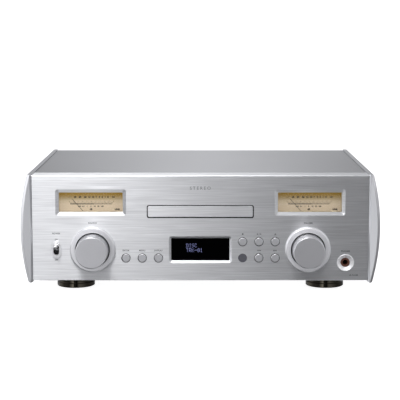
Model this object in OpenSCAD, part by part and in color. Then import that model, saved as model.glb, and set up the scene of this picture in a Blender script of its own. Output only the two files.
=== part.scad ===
// Full-width compact disc player and receiver: two needle meters, two large knobs, a disc tray
// in the middle and bowed metal side panels, on four round feet.
// Millimetres. +X is to the right seen from the front, -Y is the front, +Z is up.
// The origin lies on the floor, under the middle of the whole machine.

/* [Body] */
// Width of the front plate between the side panels
plate_w = 412; // [408:1:416]
// Height of the front plate
plate_h = 130.2; // [129:0.2:132]
// Thickness of the front plate
plate_t = 8; // [7.5:0.5:8]
// Height of the front plate's lower edge above the floor
plate_z = 20.4; // [20:0.2:22]
// Depth of the lip that the front plate folds back over the top
lip_d = 30; // [26:1:34]
// Thickness of that lip
lip_t = 3; // [2:0.5:3.5]
// Depth of the cabinet from the front plate's face to the back of the side panels
body_d = 303; // [300:1:320]
// Thickness of the sheet steel
sheet_t = 1.5; // [1:0.1:1.6]

/* [Side panels] */
// Half of the cabinet's width at the middle of the bowed side panels
panel_half_w = 221; // [219:0.5:223]
// Height of a side panel
panel_h = 133.8; // [133:0.2:135]
// Radius of the bowed outer face
bow_r = 258; // [250:1:300]
// Distance from the outer face to the crest on a panel's front end
crest_in = 4.2; // [3.5:0.1:5]
// How far the crest stands ahead of the front plate
crest_proud = 5; // [4:0.5:6]

/* [Feet] */
// Radius of a foot
foot_r = 24.2; // [20:0.2:26]
// Sideways distance from the middle to a foot's centre
foot_x = 160.2; // [140:0.2:170]
// Distance of the front feet's centres behind the front face
foot_front = 75; // [60:1:90]
// Distance of the rear feet's centres behind the front face
foot_rear = 243; // [220:1:260]

/* [Knobs] */
// Sideways distance from the middle to a knob's axis
knob_x = 132.3; // [131:0.1:134]
// Height of the knob axes
knob_z = 59; // [58:0.5:60]
// Radius of a knob at its base
knob_r = 20.2; // [19:0.1:20.4]
// How far a knob stands out of the front face
knob_proud = 26; // [22:1:28]
// Outer radius of the domed ring round a knob
ring_r = 28; // [27:0.5:29]

/* [Meters] */
// Sideways distance from the middle to a meter's centre
meter_x = 134.2; // [134:0.1:136]
// Height of the meter windows' centre
meter_z = 117.5; // [117:0.1:118]
// Width of a meter's clear window
window_w = 78.4; // [76:0.2:80]
// Height of a meter's clear window
window_h = 24.2; // [22:0.2:25]
// Length of a needle from its pivot to its tip
needle_len = 36; // [32:1:37]
// Angle of a resting needle, left of straight up
needle_rest = 41.4; // [36:0.2:44]

/* [Disc tray] */
// Width of the tray slot
slot_w = 131.2; // [131:0.2:132]
// Height of the tray slot
slot_h = 16; // [15.6:0.2:17]
// Height of the tray slot's centre
slot_z = 106.1; // [106:0.1:106.4]
// Gap between the tray door and the slot's edges
door_gap = 1.3; // [0.8:0.1:1.4]
// Number of rack teeth that the tray travels
rack_steps = 40; // [34:1:40]

/* [Buttons and sockets] */
// Radius of a button cap
button_r = 4.9; // [4.5:0.1:5.1]
// Radius of the hole round a button cap
button_hole_r = 5.65; // [5.6:0.05:5.8]
// Sideways distance from the middle to the power switch
power_x = 177; // [175:1:179]
// Sideways distance from the middle to the headphone socket
phones_x = 178.6; // [177:0.2:180]
// Height of the headphone socket
phones_z = 42.5; // [41:0.5:44]
// How far the loudspeaker terminals stand out behind the cabinet
post_proud = 19; // [17:1:22]

/* [Hidden] */

front_y = knob_proud - (knob_proud + body_d + post_proud) / 2;  // the front plate's face
eps = 0.5;                       // how far a cut runs past the face that it opens
seam = 0.2;                      // gap beside and behind the front plate
plate_top = plate_z + plate_h;
inner_y = plate_t + 1.2;         // back of the inner front, which lies against the front plate
rear_out = body_d - 2.5;         // outer face of the rear panel
rear_y = rear_out - 2.4;         // front face of the rear panel
pan_half_w = plate_w / 2 + seam;
cover_z = plate_top - sheet_t;   // underside of the top cover
cover_y = lip_d + 0.4;
smooth = 96;                     // facets of a large round face
fine = 48;                       // facets of a small round face

panel_z = plate_z - 2.3;
bow_x = panel_half_w - bow_r;    // axis of the bowed face
bow_z = panel_z + panel_h / 2;

meter_bevel = 4.1;               // width of the sloping frame round a meter window
meter_bevel_d = 1.6;
glass_y = 3.2;
glass_t = 1.5;
glass_lip = 1.8;                 // how far the glass reaches behind the plate on each side
meter_box_w = 92;
meter_box_h = 48;
meter_box_z = meter_z - 7.5;
meter_box_d = 22;
meter_wall = 1.5;
dial_y = 11.4;
dial_t = 0.6;
pivot_z = meter_z - 23.8;
pin_r = 0.6;
run_gap = 0.05;                  // radial clearance of a turning or sliding shaft

display_z = 58.8;
display_w = 77.2;                // the display frame's outer size
display_h = 33.3;
display_bevel = 2.7;
display_d = 2.6;
display_lip = 1.6;

button_pitch = 20;
low_row_z = 48.4;
top_row_z = 68.8;
left_row_x = -91.5;
right_row_x = 52;
button_proud = 1.2;
button_travel = 1.2;
switch_y = 15.5;                 // face of the switches behind the buttons
board_y = switch_y + 3.5;
board_t = 1.6;

shaft_r = 3;
bushing_r = 4.5;
encoder_d = 8;

ir_r = 5.4;
power_z = 58.6;
power_pivot_y = 9;
power_tilt = 16;                 // lever angle above and below straight out

phones_ring_r = 10.6;
jack_r = 3.2;
jack_len = 30;

tray_half_w = 63.2;
tray_y = 4.3;                    // front of the tray, behind its door
tray_end = 152;
tray_low = 100;                  // underside of the tray's skirts and rack
tray_floor = 104;                // underside of the tray's deck
tray_top = 109;
disc_y = 68;                     // the disc's centre when the tray is shut
disc_r = 60.3;
small_disc_r = 40.3;
tray_cut_w = 36;
gear_teeth = 14;
gear_module = 1;
tooth_pitch = gear_module * PI;
tray_travel = rack_steps * tooth_pitch;
gear_pitch_r = gear_module * gear_teeth / 2;
gear_x = 45;
gear_y = 20;
gear_slack = 0.25;               // half of the play between gear and rack teeth
base_half_w = 67;
base_floor = 78;
base_front = 12;
base_back = 168;
base_t = 2;
wall_in = 63.6;                  // inner faces of the transport's side walls
wall_h = 33;
ledge_w = 4.4;                   // the ledges that carry the tray's skirts
guide_w = 3.4;                   // the guides over the tray's edges
traverse_z = 90;
traverse_t = 3;
traverse_pin_y = 152;
traverse_pin_z = 91.5;
traverse_pin_r = 2;
rod_x = 20;
rod_z = 96;
rod_r = 1.5;
sled_half_w = 26;
sled_front = 80.5;
sled_len = 24;
sled_low = 93.4;
sled_high = 99.4;
spindle_r = 1.5;
clamp_z = 113;                   // underside of the clamp's bridge

spacer_h = 8;
board_z = plate_z + sheet_t + spacer_h;

post_x = [-100, -80, -60, -40];
post_z = 52;
post_bore_r = 2.05;
line_x = [10, 28, 46];
line_z = [44, 62];
line_r = 4.15;
inlet_x = -155;
inlet_z = 60;
net_x = 100;
optical_x = 126;
usb_x = 150;
digital_z = 50;

// Places its children at x, y behind the front face, and z above the floor
module from_face(x = 0, y = 0, z = 0) translate([x, front_y + y, z]) children();

// Repeats its children on the left and on the right
module both_sides() for (side = [0, 1]) mirror([side, 0, 0]) children();

// A box given by its lowest and highest corners, its depth counted from the front face
module block(low, high) from_face(low[0], low[1], low[2]) cube(high - low);

// A round bar along Y, from depth y0 to y1
module bar(r, y0, y1, facets = fine)
    translate([0, y0, 0]) rotate([-90, 0, 0]) cylinder(r = r, h = y1 - y0, $fn = facets);

// A turned piece on the Y axis: radius across, height standing out to the front
module turned(facets = smooth) rotate([90, 0, 0]) rotate_extrude($fn = facets) children();

// An outline in X and Z, drawn from depth y0 to y1
module slab(y0, y1) translate([0, y1, 0]) rotate([90, 0, 0]) linear_extrude(y1 - y0) children();

// An outline in Y and Z, drawn across the width w
module across(w) rotate([90, 0, 90]) linear_extrude(w, center = true) children();

module round_rect(w, h, r) {
    square([w - 2 * r, h], center = true);
    square([w, h - 2 * r], center = true);
    for (x = [-1, 1], y = [-1, 1])
        translate([x * (w / 2 - r), y * (h / 2 - r)]) circle(r, $fn = 32);
}

module stadium(w, h) {
    square([w, h - w], center = true);
    for (y = [-1, 1]) translate([0, y * (h - w) / 2]) circle(w / 2, $fn = fine);
}

// A window's sloping frame: w by h at the face, narrower by bevel on each side at depth d
module splay(w, h, bevel, d) {
    grow = bevel / d * eps;
    intersection() {
        linear_extrude(h + 4 * grow, center = true)
            polygon([
                [-w / 2 - grow, -eps], [w / 2 + grow, -eps], [w / 2 - bevel, d], [bevel - w / 2, d]
            ]);
        across(w + 4 * grow)
            polygon([
                [-eps, -h / 2 - grow], [d, bevel - h / 2], [d, h / 2 - bevel], [-eps, h / 2 + grow]
            ]);
        slab(-eps, d) round_rect(w, h, 3);
    }
}

function button_places() = [
    for (i = [0:2]) [left_row_x + i * button_pitch, low_row_z],
    for (i = [0:2]) [right_row_x + i * button_pitch, top_row_z],
    for (i = [1:2]) [right_row_x + i * button_pitch, low_row_z]
];

// ---- Casing ----

module front_panel() color("gainsboro")
    difference() {
        from_face() across(plate_w)
            polygon([
                [0, plate_z + 0.5], [0.5, plate_z], [plate_t, plate_z],
                [plate_t, plate_top - lip_t], [lip_d, plate_top - lip_t], [lip_d, plate_top],
                [0.8, plate_top], [0, plate_top - 0.8]
            ]);
        for (x = [-meter_x, meter_x]) from_face(x, 0, meter_z) {
            splay(window_w + 2 * meter_bevel, window_h + 2 * meter_bevel, meter_bevel, meter_bevel_d);
            slab(0, plate_t) square([window_w, window_h], center = true);
            slab(glass_y, plate_t + eps) glass_outline(0.2);
        }
        from_face(0, 0, display_z) {
            splay(display_w, display_h, display_bevel, display_d);
            slab(display_d, plate_t + eps) display_outline(0.2);
        }
        from_face(0, 0, slot_z) slab(-eps, plate_t + eps) round_rect(slot_w, slot_h, 2.5);
        for (p = button_places()) from_face(p[0], 0, p[1]) bar(button_hole_r, -eps, plate_t + eps);
        from_face(right_row_x, 0, low_row_z) bar(ir_r + 0.1, -eps, plate_t + eps);
        for (x = [-knob_x, knob_x]) from_face(x, 0, knob_z) bar(bushing_r + 0.5, -eps, plate_t + eps);
        from_face(-power_x, 0, power_z) slab(-eps, plate_t + eps) stadium(8.4, 14);
        from_face(phones_x, 0, phones_z) bar(phones_ring_r + 0.05, -eps, plate_t + eps);
    }

module inner_front() color("dimgray")
    difference() {
        block([-plate_w / 2, plate_t, plate_z], [plate_w / 2, inner_y, plate_top - lip_t - 0.2]);
        from_face() {
            for (x = [-meter_x, meter_x]) translate([x, 0, meter_box_z])
                slab(plate_t - eps, inner_y + eps)
                    square([meter_box_w + 0.6, meter_box_h + 0.6], center = true);
            translate([0, 0, display_z]) slab(plate_t - eps, inner_y + eps) display_outline(0.4);
            translate([0, 0, 96]) slab(plate_t - eps, inner_y + eps) square([140, 40], center = true);
            for (p = button_places()) translate([p[0], 0, p[1]])
                bar(button_hole_r, plate_t - eps, inner_y + eps);
            for (x = [-knob_x, knob_x]) translate([x, 0, knob_z])
                bar(bushing_r + 0.5, plate_t - eps, inner_y + eps);
            translate([-power_x, 0, power_z]) bar(6.4, plate_t - eps, inner_y + eps);
            translate([phones_x, 0, phones_z]) bar(6.2, plate_t - eps, inner_y + eps);
        }
    }

module chassis_pan() color("slategray")
    difference() {
        union() {
            block([-pan_half_w, inner_y, plate_z], [pan_half_w, rear_y, plate_z + sheet_t]);
            both_sides() from_face(pan_half_w - sheet_t / 2) across(sheet_t)
                polygon([
                    [inner_y, plate_z], [rear_y, plate_z], [rear_y, cover_z], [cover_y, cover_z],
                    [cover_y, plate_top - lip_t - 0.2], [inner_y, plate_top - lip_t - 0.2]
                ]);
        }
        for (row = [0:11], x = [-50, 6])
            from_face(x, 60 + row * 9, plate_z - eps) cube([44, 3, sheet_t + 1]);
    }

module top_cover() color("silver") {
    edge = plate_w / 2 - 0.4;
    block([-edge, cover_y, cover_z], [edge, rear_out + sheet_t, plate_top]);
    both_sides()
        block(
            [pan_half_w - 2 * sheet_t - 0.2, cover_y + 2, cover_z - 14],
            [pan_half_w - sheet_t - 0.2, rear_y - 4, cover_z]
        );
    block([-edge, rear_out + 0.2, cover_z - 8], [edge, rear_out + sheet_t, cover_z]);
}

// Length section of a side panel: radius from the bow's axis across, length up to the front
module panel_section(inner_r, length) {
    front_r = 9;
    rear_r = 4;
    rise = sqrt(pow(front_r, 2) - pow(front_r - crest_in, 2));
    crest_r = bow_r - crest_in;
    scoop_slope = 0.33;
    intersection() {
        polygon([
            [inner_r, 0], [bow_r, 0], [bow_r, length], [crest_r, length],
            [inner_r, length - scoop_slope * (crest_r - inner_r)]
        ]);
        union() {
            translate([bow_r - front_r, length - rise]) circle(front_r, $fn = smooth);
            translate([bow_r - rear_r, rear_r]) circle(rear_r, $fn = smooth);
            translate([inner_r - 1, rear_r]) square([bow_r - inner_r + 1, length - rise - rear_r]);
            translate([inner_r - 1, -1]) square([bow_r - rear_r - inner_r + 1, rear_r + 2]);
            translate([inner_r - 1, 0]) square([bow_r - front_r - inner_r + 1, length + 1]);
        }
    }
}

// The right side panel: a turned rim cut to a slab, with rounded long edges
module side_panel() {
    inner_x = pan_half_w;
    length = body_d + crest_proud;
    corner_r = 2.4;
    corner_z = panel_h / 2 - corner_r;
    corner_x = sqrt(pow(bow_r - corner_r, 2) - pow(corner_z, 2));
    lean = atan2(corner_z, corner_x);
    color("lightgray") from_face(bow_x, 0, bow_z) difference() {
        intersection() {
            translate([0, body_d, 0]) rotate([90, 0, 0]) rotate_extrude($fn = 180)
                panel_section(inner_x - bow_x - 4, length);
            slab(-crest_proud - 1, body_d + 1) difference() {
                polygon([
                    [inner_x - bow_x, 0.6 - panel_h / 2], [inner_x - bow_x + 0.6, -panel_h / 2],
                    [bow_r + 2, -panel_h / 2], [bow_r + 2, panel_h / 2],
                    [inner_x - bow_x + 0.6, panel_h / 2], [inner_x - bow_x, panel_h / 2 - 0.6]
                ]);
                for (end = [0, 1]) mirror([0, end]) difference() {
                    polygon([
                        [corner_x, corner_z], [corner_x, corner_z + 9], [corner_x + 9, corner_z + 9],
                        [corner_x + 9 * cos(lean), corner_z + 9 * sin(lean)]
                    ]);
                    translate([corner_x, corner_z]) circle(corner_r, $fn = fine);
                }
            }
        }
        // the steep inner edge beside the front plate
        translate([inner_x - bow_x, 0, 0]) linear_extrude(panel_h + 2, center = true)
            polygon([[-1, 0.5], [0, 0.5], [1.9, -2.3], [2.3, -9], [-1, -9]]);
    }
}

module side_panel_right() side_panel();

module side_panel_left() mirror([1, 0, 0]) side_panel();

module rear_panel() color("darkgray")
    difference() {
        block([-plate_w / 2, rear_y, plate_z], [plate_w / 2, rear_out, cover_z - 0.2]);
        from_face() {
            for (x = post_x) translate([x, 0, post_z]) bar(2.3, rear_y - eps, rear_out + eps);
            for (x = line_x, z = line_z) translate([x, 0, z]) bar(3.3, rear_y - eps, rear_out + eps);
            translate([inlet_x, 0, inlet_z]) slab(rear_y - eps, rear_out + eps)
                square([28.6, 21.6], center = true);
            for (x = [net_x, optical_x, usb_x]) translate([x, 0, digital_z])
                slab(rear_y - eps, rear_out + eps) square(socket_size(x) + [0.4, 0.4], center = true);
            for (side = [-1, 1], i = [0:5]) translate([side * (90 + i * 14), 0, 118])
                slab(rear_y - eps, rear_out + eps) stadium(5, 22);
        }
    }

// ---- Feet ----

module at_feet() for (x = [-foot_x, foot_x], y = [foot_front, foot_rear]) from_face(x, y) children();

module foot_cups() color("dimgray") at_feet() difference() {
    rotate_extrude($fn = smooth) polygon([
        [0, 7.8], [foot_r - 0.5, 7.8], [foot_r, 8.3], [foot_r, 16.5], [foot_r - 1.2, 17.7],
        [foot_r - 1.2, plate_z], [0, plate_z]
    ]);
    translate([0, 0, 7]) cylinder(r = foot_r - 5, h = 7, $fn = smooth);
    translate([0, 0, 7]) cylinder(r = 4, h = plate_z, $fn = fine);
}

module foot_spikes() color("darkgray") at_feet() rotate_extrude($fn = fine) polygon([
    [0, 3.2], [1, 3.2], [6, 9], [6, 12.8], [8, 12.8], [8, 13.9], [3.9, 13.9], [3.9, plate_z], [0, plate_z]
]);

module foot_dishes() color("gray") at_feet() rotate_extrude($fn = smooth) polygon([
    [0, 0], [foot_r - 0.6, 0], [foot_r, 0.6], [foot_r, 5.1], [foot_r - 0.5, 5.6],
    [foot_r - 1.8, 5.6], [foot_r - 1.8, 7.6], [foot_r - 5, 7.6], [foot_r - 5, 3.1], [0, 3.1]
]);

// ---- Knobs ----

module knob_rings() color("lightgray") for (x = [-knob_x, knob_x]) from_face(x, 0, knob_z) {
    hole_r = knob_r + 1.1;
    ring_h = 4.5;
    dome_r = 50;
    turned() intersection() {
        polygon([
            [hole_r, 0], [ring_r, 0], [ring_r, ring_h - 2], [ring_r - 0.35, ring_h - 1.3],
            [ring_r - 1.2, ring_h - 0.5], [ring_r - 1.8, ring_h], [hole_r + 0.4, ring_h],
            [hole_r, ring_h - 0.4]
        ]);
        translate([hole_r + 0.6, ring_h - dome_r]) circle(dome_r, $fn = smooth);
    }
}

module knob() {
    tip_r = knob_r - 0.8;
    edge = 1.1;
    color("silver") difference() {
        turned() {
            polygon([
                [0, 0.6], [knob_r - 0.5, 0.6], [knob_r, 1.1], [knob_r, 2.4], [tip_r + 0.2, knob_proud / 3],
                [tip_r, knob_proud - edge], [tip_r - edge, knob_proud], [0, knob_proud]
            ]);
            translate([tip_r - edge, knob_proud - edge]) circle(edge, $fn = fine);
        }
        bar(shaft_r + 0.02, -16, 0);
    }
}

module source_knob() from_face(-knob_x, 0, knob_z) knob();

module volume_knob() from_face(knob_x, 0, knob_z) knob();

module knob_shaft() color("gainsboro") difference() {
    bar(shaft_r, -15.5, inner_y + encoder_d - 2);
    translate([-shaft_r, -15.5 - eps, shaft_r - 1]) cube([2 * shaft_r, 9, 2]);
}

module source_shaft() from_face(-knob_x, 0, knob_z) knob_shaft();

module volume_shaft() from_face(knob_x, 0, knob_z) knob_shaft();

module knob_encoders() color("darkslategray") for (x = [-knob_x, knob_x]) from_face(x, 0, knob_z)
    difference() {
        union() {
            bar(bushing_r, 2, inner_y);
            translate([-8, inner_y, -8]) cube([16, encoder_d, 16]);
        }
        bar(shaft_r + run_gap, 2 - eps, inner_y + encoder_d - 1);
    }

// ---- Meters ----

module glass_outline(gap = 0)
    square([window_w + 2 * glass_lip + gap, window_h + 2 * glass_lip + gap], center = true);

module meter_housings() color("ivory") for (x = [-meter_x, meter_x]) from_face(x, 0, 0) {
    front_wall = 0.9;
    difference() {
        union() {
            translate([0, 0, meter_box_z]) slab(plate_t, plate_t + meter_box_d)
                square([meter_box_w, meter_box_h], center = true);
            translate([0, 0, meter_z]) slab(glass_y + glass_t, plate_t + eps) glass_outline();
        }
        translate([0, 0, meter_z]) slab(0, plate_t + 2) square([window_w, window_h], center = true);
        translate([0, 0, meter_box_z]) slab(plate_t + front_wall, plate_t + meter_box_d - meter_wall)
            square([meter_box_w - 2 * meter_wall, meter_box_h - 2 * meter_wall], center = true);
    }
}

module meter_dial() color("wheat") {
    low = pivot_z + 5;
    high = meter_box_z + meter_box_h / 2 - meter_wall - 0.2;
    translate([0, 0, (low + high) / 2]) slab(dial_y, dial_y + dial_t)
        square([meter_box_w - 2 * meter_wall - 0.4, high - low], center = true);
}

module meter_dial_left() from_face(-meter_x) meter_dial();

module meter_dial_right() from_face(meter_x) meter_dial();

module meter_glass() color("lightcyan", 0.3) slab(glass_y, glass_y + glass_t) glass_outline();

module meter_glass_left() from_face(-meter_x, 0, meter_z) meter_glass();

module meter_glass_right() from_face(meter_x, 0, meter_z) meter_glass();

// A needle with its hub, tail and pivot pin, leaning left at rest
module needle() color("black") rotate([0, -needle_rest, 0]) {
    hub_y = dial_y - 1.5;
    tail = 3;
    bar(2.2, hub_y, hub_y + 1);
    bar(pin_r, hub_y, dial_y + 4.6);
    translate([-0.25, hub_y + 0.2, -tail]) cube([0.5, 0.4, needle_len + tail]);
}

module needle_left() from_face(-meter_x, 0, pivot_z) needle();

module needle_right() from_face(meter_x, 0, pivot_z) needle();

module meter_coils() color("darkgray") for (x = [-meter_x, meter_x]) from_face(x, 0, pivot_z)
    difference() {
        bar(5.6, dial_y + 2, plate_t + meter_box_d - meter_wall);
        bar(pin_r + run_gap, dial_y + 1, dial_y + 5);
    }

// ---- Display, buttons and sockets on the front ----

module display_outline(gap = 0)
    square([
        display_w - 2 * display_bevel + 2 * display_lip + gap,
        display_h - 2 * display_bevel + 2 * display_lip + gap
    ], center = true);

module display_window() color("black") from_face(0, 0, display_z)
    slab(display_d, display_d + 2) display_outline();

module display_module() color("darkgreen") from_face(0, 0, display_z) {
    slab(display_d + 2, 14) display_outline(-1);
    slab(14, 14 + board_t) square([90, 34], center = true);
}

module ir_window() color("dimgray") from_face(right_row_x, 0, low_row_z) turned(fine)
    polygon([[0, -plate_t], [ir_r, -plate_t], [ir_r, -0.5], [ir_r - 0.3, -0.2], [0, -0.2]]);

module button(i) color("silver") from_face(button_places()[i][0], 0, button_places()[i][1]) {
    flange_y = inner_y + 0.4;
    stem_end = switch_y - button_travel - 0.3;
    turned(fine) polygon([
        [0, -stem_end], [2, -stem_end], [2, -flange_y - 1.4],
        [6.4, -flange_y - 1.4], [6.4, -flange_y], [button_r, -flange_y],
        [button_r, button_proud - 0.6], [button_r - 0.6, button_proud], [0, button_proud]
    ]);
}

module enter_button() button(0);

module menu_button() button(1);

module display_button() button(2);

module stop_button() button(3);

module play_button() button(4);

module eject_button() button(5);

module back_button() button(6);

module forward_button() button(7);

// Two boards with a switch behind each button, on posts from the inner front
module button_boards() color("darkgreen") {
    low = 38;
    for (board = [[left_row_x, 60], [right_row_x, 76]]) {
        x0 = board[0];
        high = board[1];
        block([x0 - 6, board_y, low], [x0 + 2 * button_pitch + 7, board_y + board_t, high]);
        for (i = [0.5, 1.5], z = [low + 2, high - 2])
            from_face(x0 + i * button_pitch, 0, z) bar(1.6, inner_y, board_y);
    }
    for (p = button_places())
        block([p[0] - 3, switch_y, p[1] - 3], [p[0] + 3, board_y, p[1] + 3]);
}

module power_escutcheon() color("silver") from_face(-power_x, 0, power_z) difference() {
    union() {
        slab(-1, 0) stadium(12, 20);
        slab(-1.6, -1) stadium(10.8, 18.8);
    }
    slab(-2, eps) stadium(7, 12.4);
}

// The lever's pivot ball with its cross pin, its slim neck and its thicker round tip, raised at rest
module power_lever() color("gainsboro") from_face(-power_x, power_pivot_y, power_z)
    rotate([-power_tilt, 0, 0]) {
        reach = 20;
        tip_r = 2.6;
        sphere(r = 2.8, $fn = fine);
        rotate([0, 90, 0]) cylinder(r = 0.9, h = 6.2, center = true, $fn = fine);
        rotate([90, 0, 0]) cylinder(r1 = 1.5, r2 = tip_r, h = reach, $fn = fine);
        translate([0, -reach, 0]) sphere(r = tip_r, $fn = fine);
    }

module power_switch() color("dimgray") from_face(-power_x, 0, power_z) difference() {
    union() {
        bar(6, plate_t, inner_y);
        translate([-7, inner_y, -11]) cube([14, 18, 22]);
    }
    bar(3.3, plate_t - eps, 14);
}

// A dished ring that sinks into the front plate
module phones_ring() color("silver") from_face(phones_x, 0, phones_z) turned()
    polygon([
        [5.6, -plate_t], [phones_ring_r, -plate_t], [phones_ring_r, 0.3], [phones_ring_r - 0.4, 0.7],
        [phones_ring_r - 0.8, 0.7], [5.8, -2.6], [5.6, -2.8]
    ]);

module phones_jack() color("sienna") from_face(phones_x, 0, phones_z) difference() {
    mouth_y = 2.2;
    union() {
        bar(5.5, mouth_y, inner_y);
        translate([-7, inner_y, -8]) cube([14, 28, 16]);
    }
    bar(jack_r, mouth_y - eps, mouth_y + jack_len);
    turned(fine) polygon([
        [0, -mouth_y - 0.6], [jack_r, -mouth_y - 0.6], [jack_r + 1.2, 1 - mouth_y], [0, 1 - mouth_y]
    ]);
}

// ---- Disc transport ----

// Straight rack teeth along Y, on the pitch line x = 0, pointing to -X
module rack_outline(start, end) {
    first = ceil((start - gear_y) / tooth_pitch);
    last = floor((end - gear_y) / tooth_pitch) - 1;
    teeth = [for (i = [first:last]) gear_y + (i + 0.5) * tooth_pitch];
    half = tooth_pitch / 4 - gear_slack;
    polygon(concat(
        [[4.5, start], [4.5, end], [1.25, end]],
        [for (k = [len(teeth) - 1:-1:0]) each [
            [1.25, teeth[k] + half + 0.45], [-0.9, teeth[k] + half - 0.3],
            [-0.9, teeth[k] - half + 0.3], [1.25, teeth[k] - half - 0.45]
        ]],
        [[1.25, start]]
    ));
}

module tray() color("darkslategray") difference() {
    from_face() {
        translate([-tray_half_w, tray_y, tray_floor])
            cube([2 * tray_half_w, tray_end - tray_y, tray_top - tray_floor]);
        both_sides() translate([tray_half_w - 3, tray_y, tray_low])
            cube([3, tray_end - tray_y, tray_floor - tray_low]);
        translate([gear_x + gear_pitch_r, 0, tray_low]) linear_extrude(tray_floor - tray_low)
            rack_outline(14, 150);
    }
    from_face(0, disc_y, 0) {
        translate([0, 0, tray_top - 2]) cylinder(r = disc_r, h = 3, $fn = 180);
        translate([0, 0, tray_top - 3]) cylinder(r = small_disc_r, h = 3, $fn = smooth);
        translate([0, 0, tray_floor - 1]) cylinder(r = tray_cut_w / 2, h = 8, $fn = smooth);
        translate([-tray_cut_w / 2, 0, tray_floor - 1]) cube([tray_cut_w, tray_end, 8]);
    }
}

module tray_door() color("gainsboro") from_face(0, 0, slot_z) {
    w = slot_w - 2 * door_gap;
    h = slot_h - 2 * door_gap;
    slab(0.7, tray_y) round_rect(w, h, 1.6);
    slab(0.3, 0.7) round_rect(w - 0.8, h - 0.8, 1.2);
}

module transport_base() color("dimgray") {
    difference() {
        from_face() {
            translate([-base_half_w, base_front, base_floor])
                cube([2 * base_half_w, base_back - base_front, base_t]);
            both_sides() {
                translate([wall_in, base_front, base_floor + base_t])
                    cube([base_half_w - wall_in, base_back - base_front, wall_h]);
                translate([wall_in - ledge_w, base_front, tray_low - 3.5])
                    cube([ledge_w, base_back - base_front, 3.1]);
                translate([wall_in - guide_w, base_front, tray_top + 0.4])
                    cube([guide_w, base_back - base_front, 2]);
            }
            translate([-wall_in, base_back - 3, base_floor + base_t]) cube([2 * wall_in, 3, 18]);
        }
        from_face(-44, 38, base_floor - 1) cube([88, 120.5, base_t + 2]);
    }
    both_sides() from_face(46.5, traverse_pin_y, 0) difference() {
        translate([-2, -6, base_floor + base_t]) cube([4, 12, 17]);
        translate([-3, 0, traverse_pin_z]) rotate([0, 90, 0])
            cylinder(r = traverse_pin_r + run_gap, h = 6, $fn = fine);
    }
    from_face(gear_x, gear_y, base_floor + base_t) {
        cylinder(r = 4, h = tray_low - base_floor - base_t - 0.3, $fn = fine);
        cylinder(r = 1.5, h = tray_floor - base_floor - base_t - 0.4, $fn = fine);
    }
    for (x = [-60, 60], y = [30, 160]) from_face(x, y, plate_z + sheet_t)
        cylinder(r = 4, h = base_floor - plate_z - sheet_t, $fn = fine);
}

// Gear teeth as wedges, with one tooth facing +X at rest
module loading_gear() color("ivory") from_face(gear_x, gear_y, tray_low - 0.1) {
    root_r = gear_pitch_r - 1.25 * gear_module;
    tip_r = gear_pitch_r + 0.85 * gear_module;
    step = 360 / gear_teeth;
    half = step / 4 - gear_slack / gear_pitch_r * 180 / PI;
    flank = 3.8;                 // degrees that a tooth's side leans from root to tip
    difference() {
        linear_extrude(tray_floor - tray_low - 0.3) polygon([
            for (i = [0:gear_teeth - 1]) each [
                for (p = [
                    [root_r, -half - flank], [tip_r, flank - half],
                    [tip_r, half - flank], [root_r, half + flank]
                ])
                    p[0] * [cos(i * step + p[1]), sin(i * step + p[1])]
            ]
        ]);
        translate([0, 0, -1]) cylinder(r = 1.5 + run_gap, h = 8, $fn = fine);
    }
}

module loading_motor() color("silver") from_face(18, 24, base_floor + base_t) {
    cylinder(r = 9, h = 14, $fn = fine);
    translate([0, 0, 14]) cylinder(r = 4, h = 4, $fn = fine);
}

module traverse() color("gray") {
    difference() {
        union() {
            block([-38, 44, traverse_z], [38, 155, traverse_z + traverse_t]);
            from_face(0, disc_y, traverse_z - 8) cylinder(r = 12, h = 8, $fn = fine);
            from_face(-47.5, traverse_pin_y, traverse_pin_z) rotate([0, 90, 0])
                cylinder(r = traverse_pin_r, h = 95, $fn = fine);
            both_sides() for (y = [76, 146])
                block([rod_x - 4, y, traverse_z + traverse_t], [rod_x + 4, y + 3.5, rod_z + 3]);
        }
        from_face(0, disc_y, traverse_z - 7) cylinder(r = spindle_r + run_gap, h = 12, $fn = fine);
        both_sides() from_face(rod_x, 0, rod_z) bar(rod_r + 0.03, 75, 151);
    }
    both_sides() from_face(rod_x, 0, rod_z) bar(rod_r, 76, 149.5);
}

module spindle() color("darkgray") from_face(0, disc_y, 0) rotate_extrude($fn = smooth) polygon([
    [0, traverse_z - 6.5], [spindle_r, traverse_z - 6.5], [spindle_r, 106.4], [14, 106.4], [14, 108.2],
    [7.4, 108.2], [7.4, 109.8], [6.4, 111], [0, 111]
]);

module pickup_sled() color("black") difference() {
    union() {
        block([-sled_half_w, sled_front, sled_low], [sled_half_w, sled_front + sled_len, sled_high]);
        from_face(0, sled_front + sled_len / 2, sled_high) {
            cylinder(r = 7, h = 2.4, $fn = fine);
            translate([0, 0, 2.4]) cylinder(r = 3.6, h = 2, $fn = fine);
        }
    }
    both_sides() from_face(rod_x, 0, rod_z)
        bar(rod_r + run_gap, sled_front - eps, sled_front + sled_len + eps);
}

module clamp_bridge() color("dimgray") difference() {
    block([-base_half_w, disc_y - 15, clamp_z], [base_half_w, disc_y + 15, clamp_z + 2]);
    from_face(0, disc_y, clamp_z - 1) cylinder(r = 10, h = 4, $fn = fine);
}

module clamp_puck() color("black") from_face(0, disc_y, clamp_z) rotate_extrude($fn = smooth)
    polygon([[0, -1.5], [9, -1.5], [9, 2.1], [14, 2.1], [14, 4.1], [0, 4.1]]);

// ---- Power supply, amplifier and boards ----

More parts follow.
